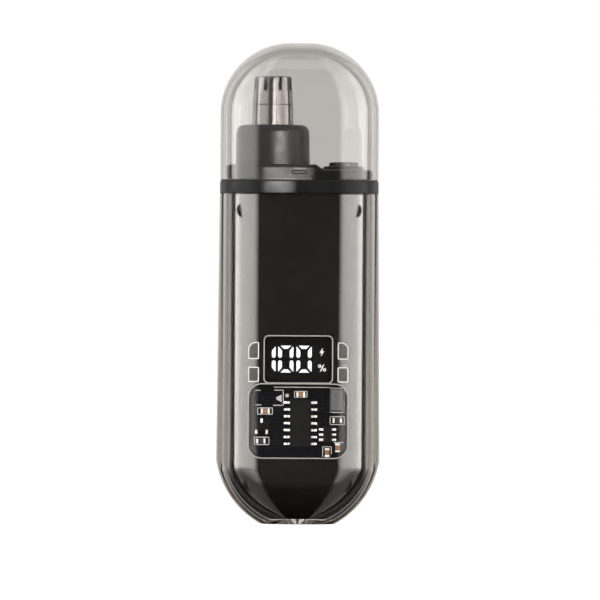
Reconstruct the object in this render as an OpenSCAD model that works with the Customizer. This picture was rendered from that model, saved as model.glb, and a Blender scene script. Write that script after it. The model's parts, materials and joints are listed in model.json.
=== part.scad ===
// Pocket nose hair trimmer: a smoked clear shell over a black inner case, with a
// clear dust cap, a twist-off cutter head, a push button and a charge display.
// Millimetres. +Z is up, the front faces -Y, and the origin is the middle of the
// flat base that it stands on.

/* [Body] */
// Height with the dust cap on
total_h = 89; // [88:0.5:90]
// Width at the widest place, low on the body
body_w = 30.3; // [30.1:0.1:30.8]
// Width under the trim band and of the dust cap
neck_w = 29.4; // [29.3:0.1:29.6]
// Depth, front to back
body_d = 19; // [19:0.1:19.4]
// Height of the clear shell's rim
shell_top = 61.1; // [61:0.1:61.3]
// Height of the black trim band
band_h = 2.4; // [2.2:0.1:2.5]
// Width of the black inner case
case_w = 26.74; // [26.6:0.02:26.8]
// Depth of the black inner case
case_d = 16; // [15.9:0.1:16.2]
// Wall of the inner case
case_wall = 1.2; // [1.1:0.1:1.2]

/* [Dust cap] */
// Wall of the dust cap
cap_wall = 0.95; // [0.8:0.05:1]
// Radius of the dome's corners, seen from the front
dome_r = 13; // [12.5:0.1:13.2]

/* [Cutter head] */
// Distance of the cutter's axis from the middle, to the left
head_offset = 5; // [4.8:0.1:5.1]
// Radius of the collar's foot
collar_r = 6.92; // [6.8:0.02:7]
// Height of the collar over the deck
collar_h = 7.4; // [7:0.1:7.6]
// Radius of the steel sleeve where it leaves the collar
sleeve_r = 3.86; // [3.8:0.02:3.9]
// Radius of the comb's tip
comb_tip_r = 3.48; // [3.4:0.02:3.5]
// Height of the comb's tip over the floor
comb_top = 82.8; // [82.4:0.1:83]
// Slots round the comb
comb_slots = 8; // [6:1:8]
// Width of one slot
slot_w = 0.7; // [0.5:0.05:0.8]
// Blades on the rotor
blade_count = 4; // [2:1:4]

/* [Button] */
// Distance of the button from the middle, to the right
button_x = 8.2; // [8.1:0.1:8.4]
// Radius of the button
button_r = 2.75; // [2.6:0.05:2.75]

/* [Windows] */
// Width of the display window
display_w = 12.4; // [12:0.1:12.6]
// Height of the display window
display_h = 8.5; // [8:0.1:8.6]
// Width of the circuit window
circuit_w = 18; // [17:0.1:18.2]
// Height of the circuit window
circuit_h = 13.5; // [13:0.1:13.6]

/* [Drive and power] */
// Diameter of the motor can
motor_d = 12; // [11.8:0.1:12]
// Length of the motor can
motor_l = 20; // [19:0.5:20]
// Diameter of the battery cell
cell_d = 10; // [9.8:0.1:10]
// Length of the battery cell
cell_l = 44; // [43:0.5:44]

/* [Hidden] */
$fn = 64;

eps = 0.01;
corner_steps = 9;      // straight pieces in each rounded corner of a lofted ring
edge_flat = 0.9;       // half depth of the narrow flat along each side of the body

// Levels
band_top = shell_top + band_h;
low_deck = band_top + 2;
high_deck = band_top + 2.9;
collar_top = high_deck + collar_h;

// The base: a wide arc seen from the front and a tighter one seen from the side
base_arc_r = 16.25;
base_arc_z = 14.2;
base_arc_in = 0.9;
taper_top_z = 12;
front_arc_r = 11;
front_arc_z = 8;
shell_floor = 1;
case_floor = 1.12;
base_levels = 9;

// Gaps and fits
case_gap = 0.12;       // inner case to clear shell
cap_gap = 0.1;         // deck to dust cap
slip = 0.05;           // parts that plug together

// The dust cap's dome
dome_z = total_h - dome_r;
edge_r = body_d / 2 - edge_flat;
front_dome_z = total_h - edge_r;

// Windows, by their middles
display_z = 30.45;
display_r = 0.75;
circuit_z = 19.1;
circuit_r = 2.4;
lens_t = 0.95;

// The charging port, standing on its side
port_w = 3.26;
port_l = 8.94;
port_clearance = 0.6;
port_depth = 7.3;
port_face = 0.3;

// Inside
case_top = shell_top - 0.25;
board_front = -5.5;
board_t = 1;
board_w = 19.2;
board_bottom = 9.6;
board_top = 34.65;
board_tail_w = 6;
board_tail_bottom = 3.8;
motor_bottom = 35.5;
motor_top = motor_bottom + motor_l;
cell_bottom = 11.5;
cell_x = 6.6;
cell_y = 1;
wire_r = 0.4;
screw_places = [[-8.4, 7.6], [8.4, 7.6], [-9.9, 57.9], [9.9, 57.9]];
screw_head_y = 5;
boss_r = 1.5;

// Chips
ic_x = 0.45;
ic_z = 18.67;
ic_pins = 7;
ic_pitch = 1.27;
charge_x = 5.46;
charge_z = 16.6;
charge_pitch = 0.95;
transistor_x = -6.7;
transistor_z = 18.1;
// Each small part on the board: middle x, middle z, turned upright or not
capacitor_places = [[0.5, 24, false], [-6.05, 20.85, false], [5.4, 13.3, true], [7.3, 14.2, true]];
resistor_places = [[-6.8, 15.35, false], [7.2, 19.2, false]];

black = [0.05, 0.05, 0.055];
satin = [0.12, 0.12, 0.13];
smoke = [0.55, 0.52, 0.49, 0.4];
steel = [0.78, 0.77, 0.76];

/* ---- shared shapes ---- */

// Points of a rounded rectangle at height z, counterclockwise
function ring(hw, hd, r, z) = [
    for (q = [0:3], i = [0:corner_steps])
        let (a = 90 * q + 90 * i / corner_steps,
             sx = q == 0 || q == 3 ? 1 : -1,
             sy = q < 2 ? 1 : -1)
        [sx * (hw - r) + r * cos(a), sy * (hd - r) + r * sin(a), z]
];

// Half width of the body at height z: straight sides hw over the base's arc, moved in by t
function base_hw(z, hw, t) = z >= base_arc_z ? hw
    : min(hw, sqrt(pow(base_arc_r - t, 2) - pow(base_arc_z - z, 2)) - base_arc_in);

// Half depth of the body at height z: flat faces hd over the base's arc, moved in by t
function base_hd(z, hd, t) = z >= front_arc_z ? hd
    : hd - (front_arc_r - t) + sqrt(pow(front_arc_r - t, 2) - pow(front_arc_z - z, 2));

// The outer shell is a little wider low down than at its rim
function shell_hw(z) = let (f = max(0, min(1, (z - taper_top_z) / (shell_top - taper_top_z))))
    (body_w * (1 - f) + (neck_w + 0.08) * f) / 2;

function body_ring(z, hw, hd, t) = let (d = base_hd(z, hd, t))
    ring(base_hw(z, hw, t), d, d - edge_flat, z);

// Heights up the base's arc, closer together near the floor
function base_heights(z0) = [
    for (k = [0:base_levels - 1])
        z0 + (taper_top_z - z0) * (1 - cos(90 * k / (base_levels - 1)))
];

function dome_hw(z, t) = z <= dome_z ? neck_w / 2 - t
    : neck_w / 2 - dome_r + sqrt(max(0, pow(dome_r - t, 2) - pow(z - dome_z, 2)));
function dome_corner(z, t) = z <= front_dome_z ? edge_r - t
    : max(0.3, sqrt(max(0, pow(edge_r - t, 2) - pow(z - front_dome_z, 2))));
function dome_ring(z, t) = let (r = dome_corner(z, t))
    ring(dome_hw(z, t), edge_flat + r, r, z);
function dome_heights(t) = [for (a = [0:10:90]) dome_z + (dome_r - t) * sin(a)];

// A closed solid through a chain of rings, capped at both ends
module loft(rings) {
    n = len(rings[0]);
    last = len(rings) - 1;
    polyhedron(
        points = [for (r = rings, p = r) p],
        faces = [
            [for (i = [0:n - 1]) i],
            for (k = [0:last - 1], i = [0:n - 1])
                let (j = (i + 1) % n) [k * n + i, (k + 1) * n + i, (k + 1) * n + j],
            for (k = [0:last - 1], i = [0:n - 1])
                let (j = (i + 1) % n) [k * n + i, (k + 1) * n + j, k * n + j],
            [for (i = [n - 1:-1:0]) last * n + i]
        ]
    );
}

// The inner case's solid form, from its floor to its top, moved in by t
module case_form(t, top) {
    loft([
        for (z = concat(base_heights(case_floor + t), [top]))
            body_ring(z, case_w / 2 - t, case_d / 2 - t, base_arc_r - 14.8 + t)
    ]);
}

module rounded(w, h, r) {
    square([w - 2 * r, h], center = true);
    square([w, h - 2 * r], center = true);
    for (x = [-1, 1], y = [-1, 1])
        translate([x * (w / 2 - r), y * (h / 2 - r)]) circle(r);
}

// A plan shape of the body's neck, moved in by t, from z0 to z1
module neck_slab(t, z0, z1) {
    translate([0, 0, z0])
        linear_extrude(z1 - z0) rounded(neck_w - 2 * t, body_d - 2 * t, edge_r - t);
}

// Extrudes a shape drawn in x and z from y0 back to y1
module face_plate(y0, y1) {
    translate([0, y1, 0]) rotate([90, 0, 0]) linear_extrude(y1 - y0) children();
}

// A hollow cylinder
module tube(r_out, r_in, z0, z1) {
    translate([0, 0, z0]) difference() {
        cylinder(r = r_out, h = z1 - z0);
        translate([0, 0, -eps]) cylinder(r = r_in, h = z1 - z0 + 2 * eps);
    }
}

module rod(r, z0, z1) {
    translate([0, 0, z0]) cylinder(r = r, h = z1 - z0);
}

// A round wire of radius r through a list of points
function unit(v) = v / norm(v);
function path_dir(p, i) = unit(p[min(i + 1, len(p) - 1)] - p[max(i - 1, 0)]);
function side_of(d) = unit(abs(d[2]) > 0.9 ? cross(d, [1, 0, 0]) : cross(d, [0, 0, 1]));
function wire_ring(p, i, r, n, s) = let (d = path_dir(p, i), u = unit(s - (s * d) * d), v = cross(d, u))
    [for (k = [0:n - 1]) p[i] + r * (cos(360 * k / n) * u + sin(360 * k / n) * v)];
function carried_sides(p, i, s) = i >= len(p) ? []
    : let (d = path_dir(p, i), u = unit(s - (s * d) * d)) concat([u], carried_sides(p, i + 1, u));
module wire(p, r, n = 8) {
    sides = carried_sides(p, 0, side_of(path_dir(p, 0)));
    rings = [for (i = [0:len(p) - 1]) wire_ring(p, i, r, n, sides[i])];
    loft(rings);
}

// A smooth curve through four control points
function bezier(a, b, c, d, n) = [
    for (i = [0:n]) let (t = i / n, u = 1 - t)
        u * u * u * a + 3 * u * u * t * b + 3 * u * t * t * c + t * t * t * d
];

module at_head() {
    translate([-head_offset, 0, 0]) children();
}

module port_outline(grow) {
    w = port_w + 2 * grow;
    l = port_l + 2 * grow;
    square([w, l - w], center = true);
    for (y = [-1, 1]) translate([0, y * (l - w) / 2]) circle(w / 2);
}

/* ---- shells and covers ---- */

module outer_shell() {
    inner = base_arc_r - 14.8 - case_gap;
    color(smoke) difference() {
        loft(concat(
            [for (z = base_heights(0)) body_ring(z, shell_hw(z), body_d / 2, 0)],
            [body_ring(shell_top, shell_hw(shell_top), body_d / 2, 0)],
            [body_ring(shell_top, case_w / 2 + case_gap, case_d / 2 + case_gap, inner)],
            [for (k = [base_levels - 1:-1:0]) let (z = base_heights(shell_floor)[k])
                body_ring(z, case_w / 2 + case_gap, case_d / 2 + case_gap, inner)]
        ));
        translate([0, 0, -1]) linear_extrude(shell_floor + 2) port_outline(port_clearance);
    }
}

module case_half(front) {
    y0 = front ? -body_d : 0.02;
    intersection() {
        case_form(0, case_top);
        translate([-body_w, y0, 0]) cube([2 * body_w, body_d - 0.02, total_h]);
    }
}

module case_hollow() {
    case_form(case_wall, case_top + 1);
}

// Screw bosses of one half, trimmed to the case's outline
module bosses(front) {
    y0 = front ? -case_d / 2 + case_wall / 2 : 0.02;
    y1 = front ? 0 : case_d / 2 - case_wall / 2;
    intersection() {
        case_form(case_wall / 2, case_top);
        for (p = screw_places)
            translate([p[0], y1, p[1]]) rotate([90, 0, 0]) cylinder(r = boss_r, h = y1 - y0);
    }
}

module screw_holes(r, y0, y1) {
    for (p = screw_places)
        translate([p[0], y1, p[1]]) rotate([90, 0, 0]) cylinder(r = r, h = y1 - y0);
}

module window_shape(w, h, r, z, grow) {
    translate([0, z]) rounded(w + 2 * grow, h + 2 * grow, r + grow);
}

module front_cover() {
    color(black) difference() {
        union() {
            difference() {
                case_half(true);
                case_hollow();
            }
            bosses(true);
        }
        face_plate(-body_d, -5) window_shape(display_w, display_h, display_r, display_z, slip);
        face_plate(-body_d, -3) window_shape(circuit_w, circuit_h, circuit_r, circuit_z, slip);
        translate([0, 0, -1]) linear_extrude(shell_floor + 3) port_outline(0.12);
        screw_holes(0.55, -5, 0.1);
    }
}

module rear_cover() {
    color(black) difference() {
        union() {
            difference() {
                case_half(false);
                case_hollow();
            }
            bosses(false);
        }
        translate([0, 0, -1]) linear_extrude(shell_floor + 3) port_outline(0.12);
        screw_holes(0.8, -0.1, case_d);
        screw_holes(1.35, screw_head_y, case_d);
    }
}

module display_lens() {
    color([0.02, 0.02, 0.02, 0.6])
        face_plate(-case_d / 2, -case_d / 2 + lens_t)
            window_shape(display_w, display_h, display_r, display_z, 0);
}

module circuit_lens() {
    color([0.3, 0.3, 0.32, 0.4]) intersection() {
        difference() {
            case_form(0, case_top);
            case_form(lens_t, case_top + 1);
        }
        face_plate(-body_d, -3) window_shape(circuit_w, circuit_h, circuit_r, circuit_z, 0);
    }
}

module trim_band() {
    color(satin) difference() {
        neck_slab(0, shell_top, band_top);
        neck_slab(body_d / 2 - case_d / 2 - case_gap + slip, shell_top - 1, band_top + 1);
    }
}

module deck_gasket() {
    color([0.1, 0.1, 0.1]) translate([0, 0, case_top]) linear_extrude(shell_top - case_top) difference() {
        rounded(case_w - 0.2, case_d - 0.2, case_d / 2 - edge_flat);
        rounded(case_w - 2 * case_wall, case_d - 2 * case_wall, case_d / 2 - case_wall - edge_flat);
    }
}

/* ---- deck ---- */

socket_r = 5.4;
socket_floor = band_top - 0.9;
socket_wall = 1.9;
skirt_r = socket_r - 0.1;
skirt_wall = 0.9;
seal_r = 3;
hollow_inset = case_wall + 1.3;
deck_t = cap_wall + cap_gap;   // the deck stands this far inside the cap's outside

// A pair of opposite sectors of a disc
module opposite_sectors(r, middle, half) {
    for (s = [0, 180]) rotate(middle + s)
        polygon([[0, 0], [1.2 * r * cos(half), -1.2 * r * sin(half)], [1.2 * r, 0],
                 [1.2 * r * cos(half), 1.2 * r * sin(half)]]);
}

module deck_outside() {
    step = 4.5;
    neck_slab(body_d / 2 - case_d / 2 - case_gap + 2 * slip, shell_top, band_top);
    neck_slab(deck_t, band_top, low_deck);
    intersection() {
        neck_slab(deck_t, low_deck, high_deck);
        face_plate(-body_d, body_d)
            polygon([[-body_w, low_deck - 1], [step, low_deck - 1], [step, low_deck],
                     [step - 1.6, high_deck], [-body_w, high_deck]]);
    }
    translate([0, 0, case_top - 1.2]) linear_extrude(shell_top - case_top + 1.3)
        rounded(case_w - 2 * case_wall - 0.2, case_d - 2 * case_wall - 0.2,
                case_d / 2 - case_wall - edge_flat - 0.1);
}

// The outline of the space under the deck, moved in by t
module hollow_outline(t) {
    inset = hollow_inset + t;
    rounded(case_w - 2 * inset, case_d - 2 * inset, case_d / 2 - inset - edge_flat);
}

module deck_hollow() {
    difference() {
        translate([0, 0, case_top - 2]) linear_extrude(low_deck - 1.3 - case_top + 2) hollow_outline(0);
        at_head() rod(socket_r + socket_wall, shell_top, high_deck);
    }
}

// A small framed mark, front and back, that shows how the dust cap goes on
module cap_mark() {
    for (s = [-1, 1])
        translate([0, s * (body_d / 2 - deck_t), band_top + 1.45]) difference() {
            cube([3, 0.5, 0.65], center = true);
            cube([2.4, 0.6, 0.22], center = true);
        }
}

module deck() {
    color(satin) difference() {
        deck_outside();
        deck_hollow();
        at_head() {
            rod(socket_r, socket_floor, high_deck + 1);
            rod(seal_r + slip, shell_top - 3, socket_floor + eps);
        }
        translate([button_x, 0, 0]) rod(bezel_plug_r + slip, low_deck - 3, low_deck + 2);
        cap_mark();
    }
}

module shaft_seal() {
    color([0.08, 0.08, 0.08]) at_head() tube(seal_r, 1.9, shell_top + 0.2, socket_floor - 0.1);
}

/* ---- electronics ---- */

module main_board() {
    color([0.06, 0.07, 0.09]) face_plate(board_front, board_front + board_t) difference() {
        union() {
            translate([-board_w / 2, board_bottom]) square([board_w, board_top - board_bottom]);
            translate([-board_tail_w / 2, board_tail_bottom])
                square([board_tail_w, board_bottom - board_tail_bottom + 1]);
        }
        for (x = [-1, 1]) translate([x * 8.4, board_top - 1.2]) circle(0.6);
    }
}

module control_ic() {
    color([0.09, 0.09, 0.1]) translate([ic_x - 1.95, board_front - 1.45, ic_z - 4.33]) cube([3.9, 1.4, 8.66]);
}

// One bent lead in x and y, leaving the chip at x = 0 and y = 0 and landing on the board
module lead_profile(reach, drop) {
    t = 0.2;
    knee = reach * 0.25;
    foot = reach * 0.45;
    polygon([[0, 0], [knee + 0.12, 0], [foot + 0.12, drop - t], [reach, drop - t],
             [reach, drop], [foot - 0.08, drop], [knee - 0.08, t], [0, t]]);
}

module ic_leads() {
    color(steel)
        for (s = [-1, 1], k = [0:ic_pins - 1])
            translate([ic_x + s * 1.95, board_front - 0.75, ic_z + (k - (ic_pins - 1) / 2) * ic_pitch - 0.2])
                mirror([s < 0 ? 1 : 0, 0, 0]) linear_extrude(0.4) lead_profile(1.1, 0.75);
}

module charge_ic() {
    color([0.09, 0.09, 0.1])
        translate([charge_x - 0.8, board_front - 1.15, charge_z - 1.45]) cube([1.6, 1.1, 2.9]);
}

module charge_ic_leads() {
    color(steel)
        for (s = [-1, 1], k = [-1:1])
            translate([charge_x + s * 0.8, board_front - 0.55, charge_z + k * charge_pitch - 0.2])
                mirror([s < 0 ? 1 : 0, 0, 0]) linear_extrude(0.4) lead_profile(0.75, 0.55);
}

module power_transistor() {
    color([0.09, 0.09, 0.1])
        translate([transistor_x - 1.45, board_front - 1.05, transistor_z - 0.65]) cube([2.9, 1, 1.3]);
}

// One lead at the top and two at the bottom
module transistor_leads() {
    color(steel)
        for (p = [[0, 1], [-0.95, -1], [0.95, -1]])
            translate([transistor_x + p[0], board_front - 0.5, transistor_z + p[1] * 0.65])
                mirror([0, 0, p[1] < 0 ? 1 : 0]) rotate([0, -90, 0])
                    translate([0, 0, -0.2]) linear_extrude(0.4) lead_profile(0.75, 0.5);
}

// A small part that lies on the board: w along, d across, t thick
module on_board(p, w, d, t) {
    translate([p[0], board_front - t / 2, p[1]]) rotate([0, p[2] ? 90 : 0, 0]) cube([w, t, d], center = true);
}

module chip_capacitors() {
    color([0.55, 0.36, 0.2]) for (p = capacitor_places) on_board(p, 0.96, 0.8, 0.8);
}

module chip_resistors() {
    color([0.07, 0.07, 0.07]) for (p = resistor_places) on_board(p, 0.96, 0.8, 0.5);
}

module end_caps(p, t) {
    for (s = [-1, 1])
        translate([p[0] + (p[2] ? 0 : s * 0.64), board_front - t / 2, p[1] + (p[2] ? s * 0.64 : 0)])
            rotate([0, p[2] ? 90 : 0, 0]) cube([0.3, t, 0.84], center = true);
}

module chip_terminals() {
    color(steel) {
        for (p = capacitor_places) end_caps(p, 0.84);
        for (p = resistor_places) end_caps(p, 0.54);
    }
}

module power_inductor() {
    color([0.2, 0.2, 0.21]) translate([7.1, board_front, 23]) rotate([90, 0, 0]) difference() {
        translate([-1.05, -1.9, 0]) cube([2.1, 3.8, 1.1]);
        for (k = [-2:2]) translate([-2, k * 0.6 - 0.1, 0.95]) cube([4, 0.2, 1]);
    }
}

module display_module() {
    color([0.03, 0.03, 0.03])
        face_plate(-case_d / 2 + lens_t + 0.15, board_front)
            translate([0, display_z]) square([display_w - 0.2, display_h - 0.2], center = true);
}

digit_h = 4.95;
digit_w = 2.81;
digit_pitch = 3.36;
digit_z = 30.5;
seg_w = 0.7;
seg_gap = 0.5;

// An upright segment, over the digit's middle, with its outer edge on x = 0
module upright_segment() {
    l = digit_h / 2 - 0.2;
    polygon([[0, seg_gap], [seg_w * 0.3, seg_gap / 2], [seg_w * 0.7, seg_gap / 2], [seg_w, seg_gap],
             [seg_w, l - 0.75], [0.1, l], [0, l]]);
}

// The segment along the top of a digit, with its wide side on y = 0
module level_segment() {
    l = digit_w - 0.85;
    polygon([[-l / 2, 0], [l / 2, 0], [l / 2 - 0.6, -0.58], [-l / 2 + 0.6, -0.58]]);
}

// The two upright segments along the left of a digit
module digit_side() {
    for (s = [0, 1]) mirror([0, s]) translate([-digit_w / 2, 0]) upright_segment();
}

module zero_digit() {
    digit_side();
    mirror([1, 0]) digit_side();
    for (s = [0, 1]) mirror([0, s]) translate([0, digit_h / 2]) level_segment();
}

module bolt_sign() {
    polygon([[0.2, 0.8], [-0.42, -0.12], [-0.02, -0.12], [-0.2, -0.8], [0.45, 0.16], [0.04, 0.16]]);
}

module percent_sign() {
    for (s = [-1, 1]) translate([s * 0.44, -s * 0.34]) difference() {
        circle(0.3);
        circle(0.15);
    }
    polygon([[-0.4, -0.65], [-0.22, -0.65], [0.4, 0.65], [0.22, 0.65]]);
}

module display_segments() {
    y = -case_d / 2 + lens_t + 0.05;
    color([0.95, 0.97, 1]) face_plate(y, y + 0.1) {
        for (k = [0, 1]) translate([1.05 - k * digit_pitch, digit_z]) zero_digit();
        translate([1.05 - 2 * digit_pitch + 0.08, digit_z]) mirror([1, 0]) digit_side();
        translate([4.31, 31.8]) bolt_sign();
        translate([4.38, 28.9]) percent_sign();
    }
}

module usb_shell() {
    color(steel) difference() {
        translate([0, 0, port_face]) linear_extrude(port_depth) port_outline(0);
        translate([0, 0, port_face - 1]) linear_extrude(port_depth) port_outline(-0.3);
    }
}

module usb_tongue() {
    color([0.05, 0.05, 0.05]) {
        translate([-0.35, -3.35, port_face + 1.1]) cube([0.7, 6.7, 4.6]);
        translate([0, 0, port_face + port_depth - 1.6]) linear_extrude(0.58) port_outline(-0.32);
    }
}

/* ---- battery ---- */

module at_cell() {
    translate([cell_x, cell_y, 0]) children();
}

module battery_cell() {
    color([0.16, 0.35, 0.62]) at_cell() {
        rod(cell_d / 2, cell_bottom, cell_bottom + cell_l - 0.6);
        rod(cell_d / 2 - 1.2, cell_bottom + cell_l - 0.7, cell_bottom + cell_l);
    }
}

module battery_tabs() {
    color(steel) at_cell() {
        translate([-1.5, -2.5, cell_bottom + cell_l]) cube([3, 5, 0.15]);
        translate([-1.5, -3.5, cell_bottom - 0.15]) cube([3, 5, 0.15]);
    }
}

module battery_lead_red() {
    top = cell_bottom + cell_l + 0.15 + wire_r;
    color([0.7, 0.08, 0.08]) wire(concat(
        bezier([cell_x - 1.2, cell_y, top], [4, 2.6, top + 0.3], [0.9, 5.4, top], [0.9, 5.4, 52], 6),
        bezier([0.9, 5.4, 34], [0.9, 5.4, 30], [0.6, 1, 31], [0.2, board_front + board_t + 0.45, 30], 6)
    ), wire_r);
}

module battery_lead_black() {
    low = cell_bottom - 0.15 - wire_r;
    color([0.05, 0.05, 0.05]) wire(
        bezier([cell_x - 0.6, cell_y - 2.2, low], [cell_x - 1.4, -2.8, low], [4.6, -3.2, low + 0.2],
               [3.4, board_front + board_t + 0.45, 10.9], 6), wire_r);
}

/* ---- motor and drive ---- */

motor_r = motor_d / 2;
can_wall = 0.7;
shaft_r = 0.75;
motor_screw_y = 3.6;

module motor_can() {
    color(steel) at_head() {
        tube(motor_r, motor_r - can_wall, motor_bottom, motor_top);
        tube(motor_r - can_wall / 2, shaft_r + 0.06, motor_top - can_wall, motor_top);
        tube(2, shaft_r + 0.06, motor_top - eps, motor_top + 1);
    }
}

module motor_magnets() {
    color([0.2, 0.2, 0.2]) at_head() intersection() {
        tube(motor_r - can_wall - 0.02, 4.2, motor_bottom + 4.5, motor_top - 3.5);
        translate([0, 0, motor_bottom]) linear_extrude(motor_l) opposite_sectors(motor_r, 0, 60);
    }
}

module motor_end_cap() {
    color([0.85, 0.85, 0.8]) at_head() difference() {
        union() {
            rod(motor_r - can_wall - 0.02, motor_bottom, motor_bottom + 1);
            rod(motor_r - 0.1, motor_bottom - 0.8, motor_bottom - 0.01);
            rod(3, motor_bottom - 0.2, motor_bottom + 0.2);
        }
        rod(shaft_r + 0.06, motor_bottom - 2, motor_bottom + 2);
    }
}

module motor_terminals() {
    color([0.8, 0.62, 0.3]) at_head() for (s = [-1, 1])
        translate([s * 3.2 - 0.75, 0.8, motor_bottom - 2.8]) cube([1.5, 0.3, 2]);
}

module motor_damper() {
    color([0.1, 0.1, 0.1]) at_head() tube(motor_r + 0.55, motor_r + 0.03, motor_bottom + 3, motor_top - 2);
}

module motor_plate() {
    color(steel) translate([0, 0, motor_top + 0.02]) linear_extrude(0.8) difference() {
        translate([-head_offset, 0]) rounded(12.4, 11, 3);
        translate([-head_offset, 0]) {
            circle(2.1);
            for (s = [-1, 1]) translate([0, s * motor_screw_y]) circle(0.75);
        }
    }
}

module motor_screws() {
    color(steel) at_head() for (s = [-1, 1]) translate([0, s * motor_screw_y, 0]) {
        rod(0.7, motor_top + 0.01, motor_top + 0.9);
        difference() {
            rod(1.2, motor_top + 0.83, motor_top + 1.5);
            translate([-1.3, -0.15, motor_top + 1.2]) cube([2.6, 0.3, 1]);
        }
    }
}

module motor_lead(s) {
    end_z = motor_bottom - 2.8;
    from = [-head_offset + s * 3.2, 0.4, end_z + 0.4];
    to = [-head_offset + s * 2.2, board_front + board_t + 0.45, 29];
    wire(bezier(from, [from[0], -0.6, end_z - 2.5], [-head_offset + s * 2.4, -2, 29.5], to, 6), wire_r);
}

module motor_lead_red() {
    color([0.7, 0.08, 0.08]) motor_lead(1);
}

module motor_lead_black() {
    color([0.05, 0.05, 0.05]) motor_lead(-1);
}

module case_screws() {
    color(steel) for (p = screw_places) translate([p[0], screw_head_y, p[1]]) rotate([90, 0, 0]) {
        translate([0, 0, -0.3]) cylinder(r = 0.5, h = 8.5);
        difference() {
            translate([0, 0, -0.7]) cylinder(r = 1.2, h = 0.7);
            for (a = [0, 90]) rotate(a) translate([-0.75, -0.15, -0.8]) cube([1.5, 0.3, 0.45]);
        }
    }
}

module motor_shaft() {
    color(steel) at_head() rod(shaft_r, motor_bottom - 1.2, socket_floor + 3.4);
}

module motor_armature() {
    color([0.35, 0.35, 0.36]) at_head() {
        for (a = [0, 120, 240]) rotate(a) intersection() {
            rod(3.7, motor_bottom + 5, motor_top - 4);
            translate([0, 0, motor_bottom]) linear_extrude(motor_l) {
                translate([1.2, -0.6]) square([2.8, 1.2]);
                intersection() {
                    difference() {
                        circle(4);
                        circle(3);
                    }
                    polygon([[0, 0], [5, -4], [5, 4]]);
                }
            }
        }
        tube(1.4, shaft_r + eps, motor_bottom + 1.8, motor_top - 1.5);
    }
}

module armature_windings() {
    color([0.72, 0.4, 0.2]) at_head() for (a = [0, 120, 240]) rotate(a)
        translate([1.5, 0, motor_bottom + 4.4]) for (s = [-1, 1])
            translate([0, s - 0.35, 0]) cube([1.15, 0.7, motor_l - 7.8]);
}

module drive_coupling() {
    color([0.9, 0.9, 0.88]) at_head() {
        tube(1.8, shaft_r + eps, shell_top - 1.2, socket_floor + 3.5);
        tube(2.9, 1.7, socket_floor + 0.9, socket_floor + 1.5);
        translate([-0.8, -0.8, socket_floor + 3.5 - eps]) cube([1.6, 1.6, 3]);
    }
}

spring_z0 = socket_floor + 1.5 + 0.2;
spring_turns = 3.5;
spring_h = 3.6;
module blade_spring() {
    color(steel) at_head() wire([
        for (k = [0:spring_turns * 12])
            [2.3 * cos(30 * k), 2.3 * sin(30 * k), spring_z0 + (spring_h - 0.4) * k / (spring_turns * 12)]
    ], 0.18, 6);
}

module blade_carrier() {
    z0 = socket_floor + 1.5 + spring_h;
    color([0.9, 0.9, 0.88]) at_head() {
        difference() {
            rod(2.75, z0, z0 + 4.2);
            translate([-0.83, -0.83, z0 - 1]) cube([1.66, 1.66, 3.6]);
        }
        rod(1.3, z0 + 4.1, comb_top - 3.6);
    }
}

module inner_blade() {
    z0 = comb_top - 3.6;
    color(steel) at_head() {
        rod(1.1, z0, comb_top - 0.9);
        for (k = [0:blade_count - 1]) rotate(360 * k / blade_count) translate([0.8, -0.2, z0 + 0.4])
            cube([2.1, 0.4, 2.75]);
    }
}

/* ---- cutter head ---- */

// The collar's outside, drawn in radius and height, with its rounded shoulder
head_seal_z = socket_floor + 1.9;
function shoulder(r, z, f) = [for (a = [0:10:90]) [r - f + f * cos(a), z - f + f * sin(a)]];

module head_collar() {
    bore = sleeve_r + 0.1;
    foot = high_deck + 0.06;
    skirt_bottom = socket_floor + 0.2;
    color(satin) at_head() rotate_extrude() polygon(concat(
        [[skirt_r - skirt_wall, skirt_bottom], [skirt_r, skirt_bottom],
         [skirt_r, head_seal_z - 0.35], [skirt_r - 0.5, head_seal_z - 0.35],
         [skirt_r - 0.5, head_seal_z + 0.35], [skirt_r, head_seal_z + 0.35],
         [skirt_r, foot], [collar_r, foot]],
        shoulder(collar_r - 0.12, collar_top, 1.5),
        [[bore, collar_top], [bore, collar_top - 1.6], [skirt_r - 0.2, collar_top - 1.6],
         [skirt_r - 0.2, foot + 0.4], [skirt_r - skirt_wall, foot + 0.4]]
    ));
}

// The rubber ring round the collar's skirt, which grips the deck's socket
module head_seal() {
    r = 0.27;
    color([0.08, 0.08, 0.08])
        at_head() rotate_extrude() translate([socket_r - 0.04 - r, head_seal_z]) circle(r);
}

seam_z = 77.55;
seam_r = 3.76;
module lower_sleeve() {
    color(steel) at_head() rotate_extrude() polygon([
        [3.3, collar_top - 5.4], [sleeve_r, collar_top - 5.4], [sleeve_r, collar_top],
        [seam_r, seam_z - 0.08], [seam_r - 0.08, seam_z], [3.3, seam_z]
    ]);
}

module comb_tube() {
    r_in = 3;
    color(steel) at_head() difference() {
        rotate_extrude() polygon(concat(
            [[r_in, seam_z - 1.4], [3.27, seam_z - 1.4], [3.27, seam_z + 0.02],
             [seam_r - 0.1, seam_z + 0.02], [seam_r - 0.02, seam_z + 0.1]],
            shoulder(comb_tip_r, comb_top, 0.45),
            [[0, comb_top + 0.05], [0, comb_top - 0.4], [r_in, comb_top - 0.4]]
        ));
        for (k = [0:comb_slots - 1]) rotate(360 * (k + 0.5) / comb_slots)
            translate([1.4, -slot_w / 2, comb_top - 2.65]) cube([4, slot_w, 4]);
    }
}

/* ---- button ---- */

module at_button() {
    translate([button_x, 0, 0]) children();
}

bezel_r = 3.8;
bezel_plug_r = 3.35;
bezel_top = low_deck + 0.7;
button_top = low_deck + 1.45;
board_z = case_top - 1;
switch_top = board_z + 1.8;
plunger_top = switch_top + 0.55;

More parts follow.
